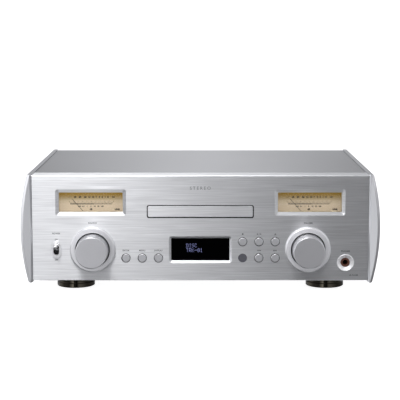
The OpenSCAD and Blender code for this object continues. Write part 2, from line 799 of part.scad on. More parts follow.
module transformer() color("goldenrod") from_face(-122, 112, plate_z + sheet_t) {
    coil_r = 50;
    coil_h = 48;
    round = 12;
    difference() {
        rotate_extrude($fn = smooth) translate([(coil_r + 18) / 2, coil_h / 2])
            round_rect(coil_r - 18, coil_h, round);
        translate([0, 0, coil_h - 1.5]) cylinder(r = 29, h = 3, $fn = fine);
    }
    translate([0, 0, coil_h - 1.5]) cylinder(r = 28, h = 2.5, $fn = fine);
    cylinder(r = 4, h = coil_h + 7, $fn = fine);
}

// The main board behind, and the amplifier board to the right, on round spacers
module circuit_boards() color("seagreen") {
    boards = [[-60, 178, 195, 292], [76, 62, 195, 170]];
    for (b = boards) {
        block([b[0], b[1], board_z], [b[2], b[3], board_z + board_t]);
        for (x = [b[0] + 5, b[2] - 5], y = [b[1] + 5, b[3] - 5]) from_face(x, y, plate_z + sheet_t)
            cylinder(r = 3, h = spacer_h, $fn = fine);
    }
    for (x = [-30:30:60], y = [205, 235])
        block([x, y, board_z + board_t], [x + 14, y + 14, board_z + board_t + 2]);
}

module capacitors() color("navy") {
    for (x = [95, 132, 169]) from_face(x, 84, board_z + board_t) cylinder(r = 15, h = 42, $fn = fine);
    for (x = [90:22:178], y = [205, 232]) from_face(x, y, board_z + board_t)
        cylinder(r = 7, h = 22, $fn = fine);
}

module heatsink() color("dimgray") {
    block([80, 110, board_z + board_t], [190, 116, board_z + board_t + 66]);
    for (i = [0:13])
        block([82 + i * 8, 116, board_z + board_t + 2], [84 + i * 8, 150, board_z + board_t + 66]);
}

// ---- Rear connectors ----

function socket_size(x) = x == net_x ? [16, 14] : x == optical_x ? [10, 10] : [14, 8];

module mains_inlet() color("black") from_face(inlet_x, 0, inlet_z) {
    depth = 16;
    difference() {
        union() {
            slab(rear_out, rear_out + 3) round_rect(50, 28, 3);
            slab(rear_out - depth - 2, rear_out) square([28, 21], center = true);
        }
        slab(rear_out + 3 - depth, rear_out + 4) square([24, 16.4], center = true);
        for (x = [-20, 20]) translate([x, 0, 0]) bar(1.7, rear_out - 1, rear_out + 4);
    }
    for (p = [[-7, 1.2], [0, -2.6], [7, 1.2]]) translate([p[0], 0, p[1]])
        slab(rear_out + 2 - depth, rear_out - 1) square([1.8, 5], center = true);
}

module line_jacks() color("gold") for (x = line_x, z = line_z) from_face(x, 0, z) difference() {
    union() {
        bar(3, rear_y - 6, rear_out);
        bar(6.5, rear_out, rear_out + 1.2);
        bar(line_r, rear_out + 1.2, rear_out + 10.2);
    }
    bar(1.6, rear_out + 1.2, rear_out + 11);
}

// Four terminals, each with a threaded stem through the base plate that they share
module speaker_posts() color("firebrick") from_face() {
    tip = body_d + post_proud;
    base_t = 2.5;
    difference() {
        translate([(post_x[0] + post_x[3]) / 2, 0, post_z]) slab(rear_out, rear_out + base_t)
            round_rect(post_x[3] - post_x[0] + 20, 24, 3);
        for (x = post_x) translate([x, 0, post_z]) bar(2.3, rear_out - eps, rear_out + base_t + eps);
    }
    for (x = post_x) translate([x, 0, post_z]) difference() {
        union() {
            bar(2, rear_y - 10, rear_out + base_t + 1);
            bar(4.4, rear_out + base_t + 0.05, rear_out + 6.5);
            bar(6.8, rear_out + 6.5, tip - 3);
            bar(5.2, tip - 3, tip);
        }
        bar(post_bore_r, tip - 17, tip + 1);
    }
}

// Network, optical and data sockets, each a shell with an open mouth
module digital_sockets() color("silver") for (x = [net_x, optical_x, usb_x]) {
    size = socket_size(x);
    from_face(x, 0, digital_z) difference() {
        slab(rear_out - 16, rear_out + 0.6) square(size, center = true);
        slab(rear_out - 13, rear_out + 1) square(size - [2.4, 2.4], center = true);
    }
}

module pan_screw() difference() {
    cylinder(r = 3, h = 1.8, $fn = fine);
    translate([0, 0, 0.6]) cylinder(r = 1.3, h = 2, $fn = 6);
}

// Screws of the top cover and rear panel, and those under the chassis
module case_screws() color("silver") {
    for (x = [-190, -95, 0, 95, 190]) from_face(x, rear_out + sheet_t, cover_z - 4) rotate([-90, 0, 0])
        pan_screw();
    for (x = [-195, -20, 195]) from_face(x, rear_out, plate_z + 9) rotate([-90, 0, 0]) pan_screw();
    for (x = [-198, -60, 60, 198], y = [20, 280]) from_face(x, y, plate_z) mirror([0, 0, 1]) pan_screw();
}

front_panel();
inner_front();
chassis_pan();
top_cover();
side_panel_left();
side_panel_right();
rear_panel();
foot_cups();
foot_spikes();
foot_dishes();
knob_rings();
source_knob();
volume_knob();
source_shaft();
volume_shaft();
knob_encoders();
meter_housings();
meter_dial_left();
meter_dial_right();
meter_glass_left();
meter_glass_right();
needle_left();
needle_right();
meter_coils();
display_window();
display_module();
ir_window();
enter_button();
menu_button();
display_button();
stop_button();
play_button();
eject_button();
back_button();
forward_button();
button_boards();
power_escutcheon();
power_lever();
power_switch();
phones_ring();
phones_jack();
tray();
tray_door();
transport_base();
loading_gear();
loading_motor();
traverse();
spindle();
pickup_sled();
clamp_bridge();
clamp_puck();
transformer();
circuit_boards();
capacitors();
heatsink();
mains_inlet();
line_jacks();
speaker_posts();
digital_sockets();
case_screws();
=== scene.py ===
# Studio scene of a full-width compact disc player and receiver: camera, light, finishes and fine detail
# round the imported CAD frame. Metres; +X right, -Y front, +Z up.
import math

import bpy
from mathutils import Matrix, Vector

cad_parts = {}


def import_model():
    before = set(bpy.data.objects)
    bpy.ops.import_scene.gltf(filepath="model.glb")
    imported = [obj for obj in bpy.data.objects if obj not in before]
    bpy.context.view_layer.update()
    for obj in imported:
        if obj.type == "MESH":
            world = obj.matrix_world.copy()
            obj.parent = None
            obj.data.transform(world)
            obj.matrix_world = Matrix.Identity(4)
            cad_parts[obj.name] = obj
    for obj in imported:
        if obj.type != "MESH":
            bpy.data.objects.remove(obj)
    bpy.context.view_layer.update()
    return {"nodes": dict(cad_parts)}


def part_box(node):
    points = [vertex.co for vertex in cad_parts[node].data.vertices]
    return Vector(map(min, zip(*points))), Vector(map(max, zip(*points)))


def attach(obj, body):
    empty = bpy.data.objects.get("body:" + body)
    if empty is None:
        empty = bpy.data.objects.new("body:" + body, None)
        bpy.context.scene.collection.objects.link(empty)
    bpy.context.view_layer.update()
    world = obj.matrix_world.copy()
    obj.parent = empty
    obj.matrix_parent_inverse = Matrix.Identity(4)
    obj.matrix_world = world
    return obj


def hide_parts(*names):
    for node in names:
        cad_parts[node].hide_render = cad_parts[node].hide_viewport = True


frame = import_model()
NODES = frame["nodes"]
MM = 0.001
INK = 0.00002          # how far printed ink stands out of its wall, on either side
KEYS = ("enter", "menu", "display", "stop", "play", "eject", "back", "forward")
SPREAD = (0.25, 0.75)  # the levels between which a noise texture mostly lies


def centre(node):
    low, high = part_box(node)
    return (low + high) / 2


# ---- Shader graphs ----

class Shader:
    """One Principled material and short calls for the nodes that feed it."""

    def __init__(self, name, **sockets):
        self.mat = bpy.data.materials.new(name)
        self.mat.use_nodes = True
        self.tree = self.mat.node_tree
        self.tree.nodes.clear()
        self.bsdf = self.node("BsdfPrincipled")
        self.tree.links.new(self.bsdf.outputs[0], self.node("OutputMaterial").inputs[0])
        for key, value in sockets.items():
            self.feed(key.replace("_", " "), value)

    def node(self, kind, **props):
        made = self.tree.nodes.new("ShaderNode" + kind)
        for key, value in props.items():
            setattr(made, key, value)
        return made

    def put(self, socket, value):
        if isinstance(value, bpy.types.NodeSocket):
            self.tree.links.new(value, socket)
        else:
            if isinstance(value, (tuple, list)) and len(value) == 3 and socket.type == "RGBA":
                value = (*value, 1)
            socket.default_value = value

    def feed(self, key, value):
        self.put(self.bsdf.inputs[key], value)

    def coords(self, source="Object", scale=(1, 1, 1), shift=(0, 0, 0)):
        tex = self.node("TexCoord")
        mapping = self.node("Mapping")
        self.put(mapping.inputs["Vector"], tex.outputs[source])
        self.put(mapping.inputs["Location"], shift)
        self.put(mapping.inputs["Scale"], scale)
        return mapping.outputs[0]

    def axis(self, vector, index):
        split = self.node("SeparateXYZ")
        self.put(split.inputs[0], vector)
        return split.outputs[index]

    def math(self, operation, a, b=0.0, c=0.0):
        made = self.node("Math", operation=operation)
        for socket, value in zip(made.inputs, (a, b, c)):
            self.put(socket, value)
        return made.outputs[0]

    def scaled(self, vector, scale):
        made = self.node("VectorMath", operation="SCALE")
        self.put(made.inputs[0], vector)
        self.put(made.inputs["Scale"], scale)
        return made.outputs["Vector"]

    def length(self, vector):
        made = self.node("VectorMath", operation="LENGTH")
        self.put(made.inputs[0], vector)
        return made.outputs["Value"]

    def noise(self, vector, detail=4.0, rough=0.6):
        """Noise whose grain is set by the scale of its vector."""
        made = self.node("TexNoise")
        self.put(made.inputs["Vector"], vector)
        for key, value in (("Scale", 1.0), ("Detail", detail), ("Roughness", rough)):
            self.put(made.inputs[key], value)
        return made.outputs[0]

    def remap(self, value, low, high, to_low=0.0, to_high=1.0, smooth=False):
        made = self.node("MapRange", interpolation_type="SMOOTHSTEP" if smooth else "LINEAR")
        for socket, v in zip(made.inputs, (value, low, high, to_low, to_high)):
            self.put(socket, v)
        return made.outputs[0]

    def ramp(self, value, stops):
        made = self.node("ValToRGB")
        self.put(made.inputs[0], value)
        points = made.color_ramp.elements
        while len(points) < len(stops):
            points.new(0.5)
        for point, (place, colour) in zip(points, stops):
            point.position = place
            point.color = (*colour, 1)
        return made.outputs[0]

    def level(self, value, stops):
        """Grey levels against a value from 0 to 1; the stops' places run from -1 to 1."""
        return self.ramp(value, [((place + 1) / 2, (grey,) * 3) for place, grey in stops])

    def bump(self, height, distance):
        made = self.node("Bump")
        for key, value in (("Height", height), ("Distance", distance), ("Strength", 1.0)):
            self.put(made.inputs[key], value)
        return made.outputs[0]


def tinted(s, colour, fine, broad, tone, patch):
    """Feeds a colour that the fine grain varies by tone and the broad patches vary by patch."""
    shade = s.math("MULTIPLY", s.remap(fine, *SPREAD, 1 - tone, 1 + tone),
                   s.remap(broad, *SPREAD, 1 - patch, 1 + patch))
    s.feed("Base Color", s.scaled(colour, shade))


def finish(name, colour, rough, grain=(400, 400, 400), tone=0.05, polish=0.06, depth=0.0, patch=0.03, **sockets):
    """A finish with fine grain and soft patches in its colour, its roughness and its relief."""
    s = Shader(name, **sockets)
    fine = s.noise(s.coords("Object", grain), rough=0.62)
    broad = s.noise(s.coords("Object", (14, 14, 14), (3, 1, 2)), 2.0, 0.5)
    tinted(s, colour, fine, broad, tone, patch)
    s.feed("Roughness", s.remap(fine, *SPREAD, rough - polish, rough + polish))
    if depth:
        s.feed("Normal", s.bump(fine, depth))
    return s


def turned_finish(name, colour, rough, rings, centre_x=None, centre_z=0.0, **sockets):
    """Fine concentric lathe marks about an axis along Y, rings of them to a metre. Without centre_x they run about
    the object's own middle, and rings counts them across its width."""
    s = Shader(name, **sockets)
    if centre_x is None:
        p = s.coords("Generated", (1, 0, 1), (-0.5, 0, -0.5))
    else:
        q = s.coords("Object")
        side = s.math("SUBTRACT", s.math("ABSOLUTE", s.axis(q, 0)), centre_x)
        up = s.math("SUBTRACT", s.axis(q, 2), centre_z)
        joined = s.node("CombineXYZ")
        s.put(joined.inputs[0], side)
        s.put(joined.inputs[2], up)
        p = joined.outputs[0]
    line = s.node("CombineXYZ")
    s.put(line.inputs[0], s.math("MULTIPLY", s.length(p), rings))
    fine = s.noise(line.outputs[0], 3.0)
    broad = s.noise(s.coords("Object", (30, 30, 30)), 2.0, 0.5)
    tinted(s, colour, fine, broad, tone=0.03, patch=0.03)
    s.feed("Roughness", s.remap(fine, *SPREAD, rough - 0.04, rough + 0.04))
    s.feed("Normal", s.bump(fine, 4e-6))
    return s


def wear(node, *shaders):
    """Puts materials on a CAD node's slots."""
    slots = NODES[node].data.materials
    if not slots:
        slots.append(shaders[0].mat)
    for i in range(len(slots)):
        slots[i] = shaders[min(i, len(shaders) - 1)].mat


# ---- Materials of the CAD nodes ----

KNOB_X = centre("volume_knob").x
KNOB_Z = centre("volume_knob").z


def brushed_plate(name, colour):
    """Clear anodised plate, brushed across: fine grain and sparse longer scratches, their contrast a little stronger to
    the left as painted sheen where the light falls.
    The bevels round the meters are cut after brushing and are softer."""
    bevel_normal_y = (-0.97, -0.85)
    bevel_extra_rough = 0.16
    p = Shader(name, Metallic=1.0, Anisotropic=0.9)
    fine = p.noise(p.coords("Object", (20, 420, 1000)), 3.0)
    scratch = p.noise(p.coords("Object", (14, 300, 800), (5, 1, 9)), 1.0, 0.5)
    spark = p.noise(p.coords("Object", (24, 300, 1000), (1, 7, 3)), 0.0, 0.5)
    lines = p.math("ADD", p.remap(fine, 0.3, 0.7, -1.0, 1.0), p.remap(scratch, 0.60, 0.68, 0.0, -1.3))
    lines = p.math("ADD", lines, p.remap(scratch, 0.40, 0.33, 0.0, 1.2))
    lines = p.math("ADD", lines, p.remap(spark, 0.66, 0.74, 0.0, 1.6))
    place = p.axis(p.coords("Object"), 0)
    # partly painted sheen: the grain's contrast is set stronger to the left, where the light falls
    grain_and_sheen_strength = p.remap(place, -0.16, 0.06, 0.065, 0.055, smooth=True)
    shade = p.math("MULTIPLY_ADD", lines, grain_and_sheen_strength, 1.0)
    p.feed("Base Color", p.scaled(colour, shade))
    facing = p.axis(p.node("NewGeometry").outputs["Normal"], 1)
    bevel = p.math("MULTIPLY", p.math("GREATER_THAN", facing, bevel_normal_y[0]),
                   p.math("LESS_THAN", facing, bevel_normal_y[1]))
    p.feed("Roughness", p.math("MULTIPLY_ADD", bevel, bevel_extra_rough, p.remap(fine, *SPREAD, 0.32, 0.40)))
    p.feed("Normal", p.bump(fine, 0.6e-5))
    p.feed("Tangent", p.node("Tangent", direction_type="RADIAL", axis="X").outputs[0])
    return p


plate = brushed_plate("brushed_aluminium_plate", (0.80, 0.805, 0.82))
door = brushed_plate("brushed_aluminium_door", (0.89, 0.895, 0.91))
side_metal = finish("blasted_aluminium_sides", (0.74, 0.745, 0.76), 0.36, (2600, 2600, 2600), tone=0.03,
                    polish=0.04, depth=6e-6, Metallic=1.0)
cover = finish("satin_cover", (0.525, 0.53, 0.545), 0.28, (1900, 1900, 1900), tone=0.03, polish=0.04,
               depth=4e-6, patch=0.03, Metallic=1.0)
knob_metal = turned_finish("turned_aluminium_knob", (0.72, 0.72, 0.74), 0.34, 1400.0, KNOB_X, KNOB_Z, Metallic=1.0)
ring_metal = turned_finish("turned_aluminium_ring", (0.86, 0.86, 0.88), 0.42, 1400.0, KNOB_X, KNOB_Z, Metallic=0.85)
button_metal = turned_finish("turned_aluminium_button", (0.76, 0.76, 0.78), 0.34, 30.0, Metallic=1.0)
dark_steel = finish("black_plated_steel", (0.05, 0.05, 0.052), 0.45, (500, 500, 40), Metallic=0.6)
zinc = finish("zinc_plated_sheet", (0.62, 0.63, 0.64), 0.38, (160, 160, 160), tone=0.09, patch=0.1, Metallic=1.0)
rear_paint = finish("black_powder_paint", (0.016, 0.016, 0.018), 0.48, (2200, 2200, 2200), tone=0.12,
                    polish=0.08, depth=2.5e-5)
foot_metal = finish("dark_polished_nickel", (0.058, 0.052, 0.040), 0.05, (700, 700, 90), tone=0.05, polish=0.03,
                    Metallic=1.0)
spike_metal = finish("turned_steel_spike", (0.50, 0.50, 0.50), 0.25, (90, 90, 1500), Metallic=1.0)
switch_black = finish("moulded_black_plastic", (0.028, 0.028, 0.030), 0.42, (1500, 1500, 1500), tone=0.1, depth=8e-6)
ivory = finish("moulded_ivory", (0.74, 0.66, 0.46), 0.55, (900, 900, 900), tone=0.03, depth=5e-6)
needle_black = finish("needle_matte_black", (0.010, 0.010, 0.010), 0.55, (2000, 2000, 2000), tone=0.1)
iron = finish("turned_iron", (0.50, 0.50, 0.51), 0.35, (90, 1500, 90), Metallic=1.0)
smoked = finish("smoked_display_window", (0.0005, 0.0005, 0.0007), 0.12, (300, 300, 300), tone=0.05, polish=0.01,
                Specular_IOR_Level=0.01)
module_black = finish("display_module_black", (0.02, 0.022, 0.022), 0.5, (900, 900, 900))
ir_black = finish("smoked_receiver_window", (0.105, 0.105, 0.122), 0.30, (700, 700, 700), tone=0.04, polish=0.02)
board = finish("green_solder_resist", (0.02, 0.13, 0.055), 0.38, (260, 260, 260), tone=0.25, polish=0.1,
               Coat_Weight=0.3)
satin_trim = finish("satin_trim", (0.92, 0.92, 0.93), 0.40, (600, 1400, 600), tone=0.03, polish=0.03, Metallic=1.0)
phones_trim = finish("phones_trim", (0.95, 0.95, 0.96), 0.5, (600, 1400, 600), tone=0.03, polish=0.03, Metallic=0.4)
# painted shade: plain black for the sheets that darken the gaps in the front
gap_shade_black = finish("black_gap_shade", (0.008, 0.008, 0.009), 0.9, (1800, 1800, 1800), tone=0.2, Specular_IOR_Level=0.1)
lever_chrome = finish("polished_lever", (0.86, 0.86, 0.86), 0.13, (500, 500, 500), tone=0.02, polish=0.02,
                      Metallic=1.0)
copper_brown = finish("moulded_copper_brown", (0.11, 0.042, 0.026), 0.4, (900, 900, 900), tone=0.08)
tray_black = finish("tray_black_plastic", (0.030, 0.030, 0.033), 0.45, (2100, 2100, 2100), tone=0.12, depth=1e-5)
transport_grey = finish("transport_grey_plastic", (0.045, 0.045, 0.05), 0.5, (1700, 1700, 1700), tone=0.1,
                        depth=1e-5)
acetal = finish("natural_acetal", (0.74, 0.71, 0.62), 0.4, (900, 900, 900), tone=0.03, Subsurface_Weight=0.1)
spindle_metal = finish("turned_spindle_steel", (0.62, 0.62, 0.63), 0.22, (60, 60, 2400), Metallic=1.0)
pickup = finish("pickup_black_plastic", (0.02, 0.02, 0.022), 0.4, (1500, 1500, 1500), tone=0.1)
winding = finish("amber_tape_winding", (0.42, 0.17, 0.03), 0.32, (260, 260, 60), tone=0.2, depth=8e-5,
                 Coat_Weight=0.5)
sleeve = finish("capacitor_sleeve", (0.012, 0.02, 0.10), 0.28, (600, 600, 120), tone=0.08)
fins = finish("black_anodised_fins", (0.022, 0.022, 0.023), 0.4, (900, 900, 90), Metallic=0.5)
inlet_black = finish("inlet_black_plastic", (0.014, 0.014, 0.015), 0.4, (1600, 1600, 1600), tone=0.1, depth=8e-6)
gold = finish("gold_plate", (0.83, 0.60, 0.24), 0.2, (700, 2400, 700), tone=0.04, Metallic=1.0)
red_plastic = finish("clear_red_plastic", (0.32, 0.012, 0.012), 0.25, (700, 700, 700), tone=0.06,
                     Coat_Weight=0.4)
black_plastic = finish("gloss_black_plastic", (0.012, 0.012, 0.013), 0.25, (700, 700, 700), tone=0.06,
                       Coat_Weight=0.4)
white_plastic = finish("white_plastic", (0.72, 0.72, 0.70), 0.35, (900, 900, 900), tone=0.03)
tin = finish("tinned_shell", (0.66, 0.66, 0.67), 0.28, (500, 500, 500), tone=0.05, Metallic=1.0)
screw_metal = finish("black_zinc_screw", (0.16, 0.16, 0.17), 0.32, (900, 900, 900), tone=0.08, Metallic=1.0)

glass = finish("clear_meter_glass", (0.97, 0.98, 0.96), 0.012, (200, 200, 200), tone=0.005, polish=0.004,
               Transmission_Weight=1.0, IOR=1.14)

ink = finish("printed_dark_ink", (0.055, 0.055, 0.06), 0.5, (3000, 3000, 3000), tone=0.15)
white_ink = finish("printed_white_ink", (0.72, 0.72, 0.70), 0.5, (3000, 3000, 3000), tone=0.06)
dial_ink = finish("dial_brown_ink", (0.012, 0.008, 0.005), 0.6, (3000, 3000, 3000), tone=0.15)
# painted shade: a darker copy of the plate's metal for the engraved title
engraving_shade = finish("engraving_painted_shade", (0.30, 0.30, 0.315), 0.5, (900, 900, 900), tone=0.06, Metallic=1.0)
dots = finish("display_dots", (0.12, 0.13, 0.22), 0.5, (900, 900, 900), tone=0.02,
              Emission_Color=(0.42, 0.46, 0.95), Emission_Strength=0.62)


def dial_card(name, low, high, middle_x, painted_glow_level):
    """A printed card whose glow is painted light: emission stands in for its lamp, dark amber above as painted shade,
    cream below, dimmer towards the sides.
    """
    s = Shader(name, Roughness=0.6)
    place = s.coords("Object")
    up = s.remap(s.axis(place, 2), low, high)
    off = s.math("ABSOLUTE", s.math("SUBTRACT", s.axis(place, 0), middle_x))
    # painted light: the glow dims towards the card's sides
    painted_side_dimming = s.remap(off, 0.020, 0.041, 1.0, 0.86, smooth=True)
    fibres = s.remap(s.noise(s.coords("Object", (900, 900, 900))), *SPREAD, 0.985, 1.015)
    # painted shade: cream at the bottom darkening to amber at the top
    glow_and_shade_ramp = s.ramp(up, [(0.0, (0.64, 0.51, 0.37)), (0.36, (0.64, 0.51, 0.37)), (0.53, (0.54, 0.425, 0.29)),
                       (0.60, (0.414, 0.317, 0.175)), (0.71, (0.336, 0.226, 0.085)), (0.79, (0.285, 0.162, 0.02)),
                       (0.90, (0.262, 0.165, 0.02)), (1.0, (0.20, 0.12, 0.015))])
    lit = s.scaled(glow_and_shade_ramp, s.math("MULTIPLY", painted_side_dimming, fibres))
    s.feed("Base Color", s.scaled(lit, 0.2))
    s.feed("Emission Color", lit)
    s.feed("Emission Strength", painted_glow_level)
    return s


for node, shader in {
    "front_panel": plate, "tray_door": door, "side_panel_left": side_metal, "side_panel_right": side_metal,
    "top_cover": cover, "source_knob": knob_metal, "volume_knob": knob_metal, "knob_rings": ring_metal,
    "inner_front": dark_steel, "clamp_bridge": dark_steel, "chassis_pan": zinc, "loading_motor": zinc,
    "traverse": zinc, "source_shaft": zinc, "volume_shaft": zinc, "rear_panel": rear_paint,
    "foot_cups": foot_metal, "foot_dishes": foot_metal, "foot_spikes": spike_metal,
    "knob_encoders": switch_black, "power_switch": switch_black, "meter_housings": ivory,
    "meter_glass_left": glass, "meter_glass_right": glass, "needle_left": needle_black,
    "needle_right": needle_black, "meter_coils": iron, "display_window": smoked,
    "display_module": module_black, "ir_window": ir_black, "button_boards": board, "circuit_boards": board,
    "power_escutcheon": satin_trim, "power_lever": lever_chrome, "phones_ring": phones_trim,
    "phones_jack": copper_brown, "tray": tray_black, "transport_base": transport_grey,
    "clamp_puck": transport_grey, "loading_gear": acetal, "spindle": spindle_metal, "pickup_sled": pickup,
    "transformer": winding, "capacitors": sleeve, "heatsink": fins, "mains_inlet": inlet_black,
    "line_jacks": gold, "digital_sockets": tin, "case_screws": screw_metal, "speaker_posts": red_plastic,
}.items():
    wear(node, shader)
for key in KEYS:
    wear(key + "_button", button_metal)

# painted light: the left card glows brighter than the right
for side, level in (("left", 0.84), ("right", 0.62)):
    card_low, card_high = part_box("meter_glass_" + side)
    wear("meter_dial_" + side, dial_card("dial_card_" + side, card_low.z, card_high.z,
                                         centre("meter_dial_" + side).x, level))


# ---- Mesh pieces ----

def piece(name, verts, faces, shader, body, slot):
    mesh = bpy.data.meshes.new(name)
    mesh.from_pydata([tuple(v) for v in verts], [], faces)
    mesh.validate()
    mesh.materials.append(shader.mat)
    made = bpy.data.objects.new(name, mesh)
    bpy.context.scene.collection.objects.link(made)
    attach(made, body)
    return made


def join(parts):
    """One vertex and face list out of several."""
    verts, faces = [], []
    for some_verts, some_faces in parts:
        start = len(verts)
        verts += some_verts
        faces += [tuple(i + start for i in f) for f in some_faces]
    return verts, faces


def letters(text, size, x, y, z, back=False, weight=0.0, spacing=1.0):
    """Text as a mesh that stands on a wall facing the front, or the back."""
    curve = bpy.data.curves.new("letters", "FONT")
    curve.body, curve.size, curve.extrude = text, size, INK
    curve.align_x, curve.align_y = "CENTER", "CENTER"
    curve.offset, curve.space_character, curve.resolution_u = weight, spacing, 3
    thing = bpy.data.objects.new("letters", curve)
    bpy.context.scene.collection.objects.link(thing)
    depsgraph = bpy.context.evaluated_depsgraph_get()
    mesh = bpy.data.meshes.new_from_object(thing.evaluated_get(depsgraph))
    turn = Matrix.Rotation(math.pi, 4, "Z") if back else Matrix.Identity(4)
    place = Matrix.Translation((x, y, z)) @ turn @ Matrix.Rotation(math.pi / 2, 4, "X")
    result = [tuple(place @ v.co) for v in mesh.vertices], [tuple(p.vertices) for p in mesh.polygons]
    bpy.data.objects.remove(thing)
    bpy.data.curves.remove(curve)
    bpy.data.meshes.remove(mesh)
    return result


def sheet(points, x, y, z):
    """A flat outline in X and Z as thin ink on a wall that faces the front."""
    n = len(points)
    verts = [(x + a, y - INK, z + b) for a, b in points] + [(x + a, y + INK, z + b) for a, b in points]
    faces = [tuple(range(n)), tuple(range(2 * n - 1, n - 1, -1))]
    faces += [(i, i + n, (i + 1) % n + n, (i + 1) % n) for i in range(n)]
    return verts, faces


def stroke(x0, z0, x1, z1, width, y):
    """A straight printed line."""
    d = Vector((x1 - x0, z1 - z0)).normalized() * width / 2
    points = [(x0 + d.y, z0 - d.x), (x1 + d.y, z1 - d.x), (x1 - d.y, z1 + d.x), (x0 - d.y, z0 + d.x)]
    return sheet(points, 0, y, 0)


def box(low, high):
    (x0, y0, z0), (x1, y1, z1) = low, high
    verts = [(x, y, z) for x in (x0, x1) for y in (y0, y1) for z in (z0, z1)]
    return verts, [(0, 1, 3, 2), (4, 6, 7, 5), (0, 4, 5, 1), (2, 3, 7, 6), (0, 2, 6, 4), (1, 5, 7, 3)]


def in_mm(points, shift=0.0):
    """A (radius, y) profile given in millimetres, its y counted from shift."""
    return [(r * MM, shift + y * MM) for r, y in points]


def lathe(profile, at, steps=48, flutes=0, flute=0.0):
    """A turned shape on an axis along Y: profile is (radius, y) pairs, closed on itself."""
    verts, faces = [], []
    for r, y in profile:
        for k in range(steps):
            a = 2 * math.pi * k / steps
            rr = r - (flute if flutes and r > flute and k * flutes // steps % 2 else 0)
            verts.append((at[0] + rr * math.cos(a), at[1] + y, at[2] + rr * math.sin(a)))
    n = len(profile)
    for i in range(n):
        for k in range(steps):
            a, b = i * steps + k, i * steps + (k + 1) % steps
            c, d = (i + 1) % n * steps + (k + 1) % steps, (i + 1) % n * steps + k
            faces.append((a, b, c, d))
    return verts, faces


# ---- Labels on the front plate ----

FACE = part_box("front_panel")[0].y
LABEL = FACE - 0.00001          # the middle of the ink's thickness
SMALL, TINY = 2.6 * MM, 2.2 * MM
BOLD = 6e-5
SPACED = 1.1
labels = []
ring_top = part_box("knob_rings")[1].z
labels.append(letters("SOURCE", SMALL, -KNOB_X, LABEL, ring_top + 4.9 * MM, weight=BOLD, spacing=SPACED))
labels.append(letters("VOLUME", SMALL, KNOB_X, LABEL, ring_top + 4.9 * MM, weight=BOLD, spacing=SPACED))
switch = centre("power_escutcheon")
labels.append(letters("POWER", SMALL, switch.x, LABEL, switch.z + 20.2 * MM, weight=BOLD, spacing=SPACED))
labels.append(letters("ON", TINY, switch.x, LABEL, switch.z + 12.9 * MM, weight=BOLD))
labels.append(letters("OFF", TINY, switch.x, LABEL, switch.z - 12.6 * MM, weight=BOLD))
phones = centre("phones_ring")
labels.append(letters("PHONES", SMALL, phones.x, LABEL, phones.z + 14.3 * MM, weight=BOLD, spacing=SPACED))
for key in ("enter", "menu", "display"):
    p = centre(key + "_button")
    labels.append(letters(key.upper(), SMALL, p.x, LABEL, p.z + 9.3 * MM, weight=BOLD, spacing=SPACED))


def arrow(x, z, size, flip=1):
    """A printed triangle that points along X, or against it when flip is -1."""
    return sheet([(-size * flip, size), (size * flip, 0), (-size * flip, -size)][::flip], x, LABEL, z)


def stripe(x, z, w, h):
    """A printed rectangle about a point."""
    return sheet([(-w / 2, h / 2), (w / 2, h / 2), (w / 2, -h / 2), (-w / 2, -h / 2)], x, LABEL, z)


half = 0.85 * MM          # half the height of a symbol
p = centre("stop_button")
labels.append(stripe(p.x, p.z + 9.4 * MM, 2 * half, 2 * half))
p = centre("play_button")
labels.append(arrow(p.x - 1.7 * MM, p.z + 9.4 * MM, half))
labels.append(stroke(p.x - 0.3 * MM, p.z + 8.4 * MM, p.x + 0.3 * MM, p.z + 10.4 * MM, 0.25 * MM, LABEL))
labels += [stripe(p.x + d * MM, p.z + 9.4 * MM, 0.5 * MM, 2 * half) for d in (1.3, 2.3)]
p = centre("eject_button")
labels.append(sheet([(-1.1 * MM, 0), (0, 1.2 * MM), (1.1 * MM, 0)], p.x, LABEL, p.z + 9.1 * MM))
labels.append(stripe(p.x, p.z + 8.5 * MM, 2.2 * MM, 0.5 * MM))
for key, flip in (("back", -1), ("forward", 1)):
    p = centre(key + "_button")
    labels += [arrow(p.x + d * flip * MM, p.z + 9.3 * MM, half, flip) for d in (-1.5, 0.2)]
    labels.append(stripe(p.x + 1.5 * flip * MM, p.z + 9.3 * MM, 0.5 * MM, 2 * half))
labels.append(letters("CD PLAYER", 2.0 * MM, phones.x + 10.2 * MM, LABEL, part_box("front_panel")[0].z + 6.5 * MM,
                      weight=BOLD, spacing=SPACED))
piece("front_labels", *join(labels), ink, "cabinet", "brushed_aluminium")
# painted shade: the title is a flat sheet of darker metal standing in for the shade in its cuts
piece("front_title", *letters("STEREO", 5.6 * MM, 0, LABEL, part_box("front_panel")[1].z - 15.8 * MM, spacing=1.45),
      engraving_shade, "cabinet", "brushed_aluminium")


# ---- Painted shade and fillets in the front's openings ----

def rounded(w, h, r):
    """The outline of a rectangle with round corners."""
    n = 6
    corners = [(w / 2 - r, h / 2 - r, 0), (r - w / 2, h / 2 - r, 1),
               (r - w / 2, r - h / 2, 2), (w / 2 - r, r - h / 2, 3)]
    return [(cx + r * math.cos((q + k / n) * math.pi / 2), cz + r * math.sin((q + k / n) * math.pi / 2))
            for cx, cz, q in corners for k in range(n + 1)]


def band(outline, x, z, y0, y1, thick):
    """A thin closed band round an outline in X and Z; thick goes inward."""
    half = [max(abs(p[i]) for p in outline) for i in (0, 1)]
    inner = [(a * (1 - thick / half[0]), b * (1 - thick / half[1])) for a, b in outline]
    n = len(outline)
    verts = [(x + a, y, z + b) for ring, y in ((outline, y0), (outline, y1), (inner, y1), (inner, y0))
             for a, b in ring]
    faces = [(r * n + i, r * n + (i + 1) % n, (r + 1) % 4 * n + (i + 1) % n, (r + 1) % 4 * n + i)
             for r in range(4) for i in range(n)]
    return verts, faces


